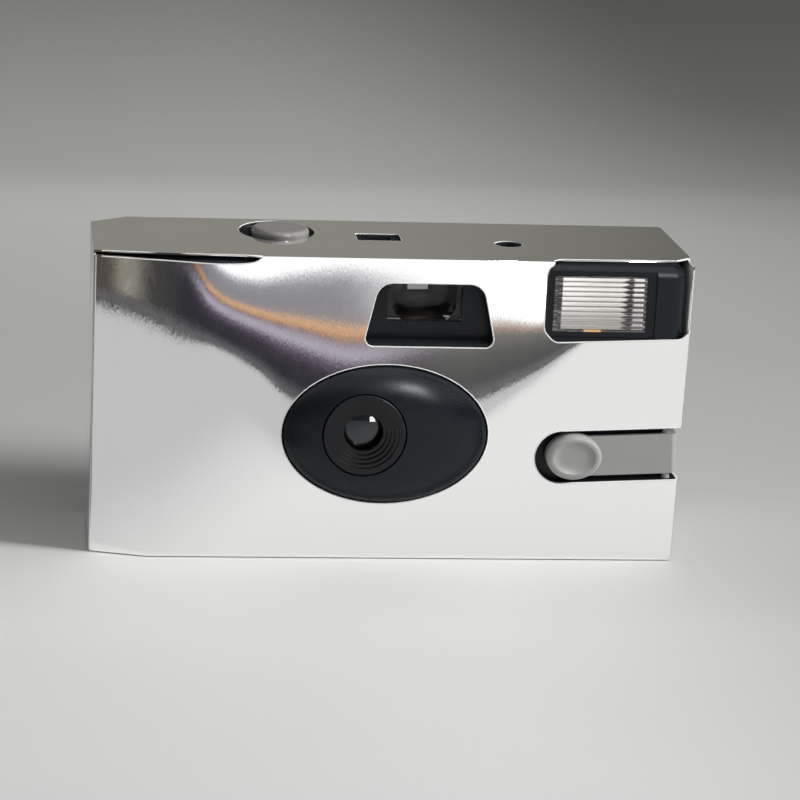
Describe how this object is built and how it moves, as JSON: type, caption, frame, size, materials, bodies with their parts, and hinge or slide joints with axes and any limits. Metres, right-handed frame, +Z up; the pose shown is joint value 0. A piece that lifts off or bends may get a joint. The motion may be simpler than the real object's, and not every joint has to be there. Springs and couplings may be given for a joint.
{
  "type": "single-use film camera",
  "caption": "Single-use 35 mm flash camera in a folded foil-card sleeve, with oval lens boss, finder, ribbed flash window, shutter button, thumbwheel and flash switch.",
  "frame": {"origin": "middle of the base on the surface that the camera stands on", "axes": "+X to the right seen from the front, +Z up, and the lens looks along -Y"},
  "size_m": [0.1179, 0.037, 0.0623],
  "materials": {
    "foil_card": "bright mirror foil on white card",
    "black_plastic": "satin black",
    "frame_plastic": "matt black",
    "white_plastic": "natural white",
    "grey_plastic": "satin mid grey",
    "clear_plastic": "clear moulded",
    "tube_glass": "clear glass",
    "lamp_lens": "tinted",
    "blade_steel": "blackened",
    "spring_steel": "drawn wire",
    "reflector_foil": "bright",
    "film": "dark brown, glossy",
    "cartridge_metal": "plain lacquered",
    "board_laminate": "paper laminate",
    "capacitor_wrap": "plain sleeve",
    "battery_wrap": "plain wrap",
    "coil_wrap": "tape",
    "part_plastic": "moulded",
    "resistor_body": "lacquered",
    "contact_metal": "plain strip"
  },
  "bodies": {
    "camera": {"battery": "battery_wrap", "battery_contact_minus": "contact_metal", "battery_contact_plus": "contact_metal", "button_spring": "spring_steel", "card_sleeve": "foil_card", "cartridge_cap_high": "cartridge_metal", "cartridge_cap_low": "cartridge_metal", "cartridge_shell": "cartridge_metal", "charge_lamp": "lamp_lens", "chassis": "frame_plastic", "circuit_board": "board_laminate", "counter_window": "clear_plastic", "film_strip": "film", "finder_front_lens": "clear_plastic", "finder_housing": "frame_plastic", "finder_rear_lens": "clear_plastic", "flash_capacitor": "capacitor_wrap", "flash_reflector": "reflector_foil", "flash_window": "clear_plastic", "front_cover": "black_plastic", "lens": "clear_plastic", "lens_board": "frame_plastic", "lens_ring": "black_plastic", "light_pipe": "clear_plastic", "mechanism_cover": "frame_plastic", "metering_spring": "spring_steel", "rear_cover": "black_plastic", "resistor_high": "resistor_body", "resistor_low": "resistor_body", "resistor_middle": "resistor_body", "shutter_spring": "spring_steel", "striker_spring": "spring_steel", "switch_contact": "contact_metal", "sync_contacts": "contact_metal", "transformer": "coil_wrap", "transistor": "part_plastic", "trigger_coil": "coil_wrap", "xenon_tube": "tube_glass"},
    "button": {"shutter_button": "grey_plastic"},
    "metering": {"metering_lever": "white_plastic"},
    "striker": {"striker_lever": "blade_steel"},
    "blade": {"shutter_blade": "blade_steel"},
    "wheel": {"thumbwheel": "grey_plastic", "cartridge_spool": "frame_plastic"},
    "sprocket": {"sprocket": "white_plastic", "metering_cam": "white_plastic"},
    "supply": {"supply_spool": "frame_plastic", "film_roll": "film"},
    "counter": {"counter_disc": "white_plastic"},
    "pawl": {"wheel_pawl": "white_plastic"},
    "switch": {"flash_switch": "grey_plastic"}
  },
  "joints": [
    {"name": "shutter_press", "type": "slide", "parent": "camera", "child": "button", "axis": [0, 0, -1], "range_m": [0, 0.0015], "stiffness_N_per_m": 300, "springref_m": -0.0015, "deforming": ["button_spring"]},
    {"name": "metering_swing", "type": "hinge", "parent": "camera", "child": "metering", "pos_m": [-0.0195, -0.00755, 0.049], "axis": [0, 0, 1], "range_deg": [-5, 0]},
    {"name": "striker_swing", "type": "hinge", "parent": "camera", "child": "striker", "pos_m": [-0.011, -0.00455, 0.0472], "axis": [0, 0, 1], "range_deg": [0, 30], "stiffness_Nm_per_rad": 0.001, "springref_deg": -17.19},
    {"name": "shutter_blade_swing", "type": "hinge", "parent": "camera", "child": "blade", "pos_m": [-0.003, -0.01075, 0.036], "axis": [0, 1, 0], "range_deg": [0, 25]},
    {"name": "thumbwheel_turn", "type": "hinge", "parent": "camera", "child": "wheel", "pos_m": [-0.0405, 0.0022, 0.0534], "axis": [0, 0, 1], "continuous": true},
    {"name": "sprocket_spin", "type": "hinge", "parent": "camera", "child": "sprocket", "pos_m": [-0.0135, 0.00835, 0.0396], "axis": [0, 0, 1], "continuous": true},
    {"name": "supply_spin", "type": "hinge", "parent": "camera", "child": "supply", "pos_m": [0.028, 0.0063, 0.0255], "axis": [0, 0, 1], "continuous": true},
    {"name": "counter_step", "type": "hinge", "parent": "camera", "child": "counter", "pos_m": [-0.007, -0.00005, 0.058], "axis": [0, 0, 1], "continuous": true},
    {"name": "pawl_click", "type": "hinge", "parent": "camera", "child": "pawl", "pos_m": [-0.0245, -0.011, 0.0525], "axis": [0, 0, 1], "range_deg": [0, 8], "stiffness_Nm_per_rad": 0.001, "springref_deg": -11.46},
    {"name": "flash_switch_press", "type": "hinge", "parent": "camera", "child": "switch", "pos_m": [0.0561, -0.01515, 0.02213], "axis": [0.0436, 0, -0.999], "range_deg": [0, 2.2], "stiffness_Nm_per_rad": 0.3, "springref_deg": -1.72}
  ],
  "couplings": [
    {"joint": "metering_swing", "follows": "shutter_press", "rad_per_m": -58.1},
    {"joint": "shutter_blade_swing", "follows": "striker_swing", "ratio": 0.833},
    {"joint": "sprocket_spin", "follows": "thumbwheel_turn", "ratio": 1},
    {"joint": "supply_spin", "follows": "thumbwheel_turn", "ratio": 0.766},
    {"joint": "counter_step", "follows": "thumbwheel_turn", "ratio": -0.027778}
  ]
}
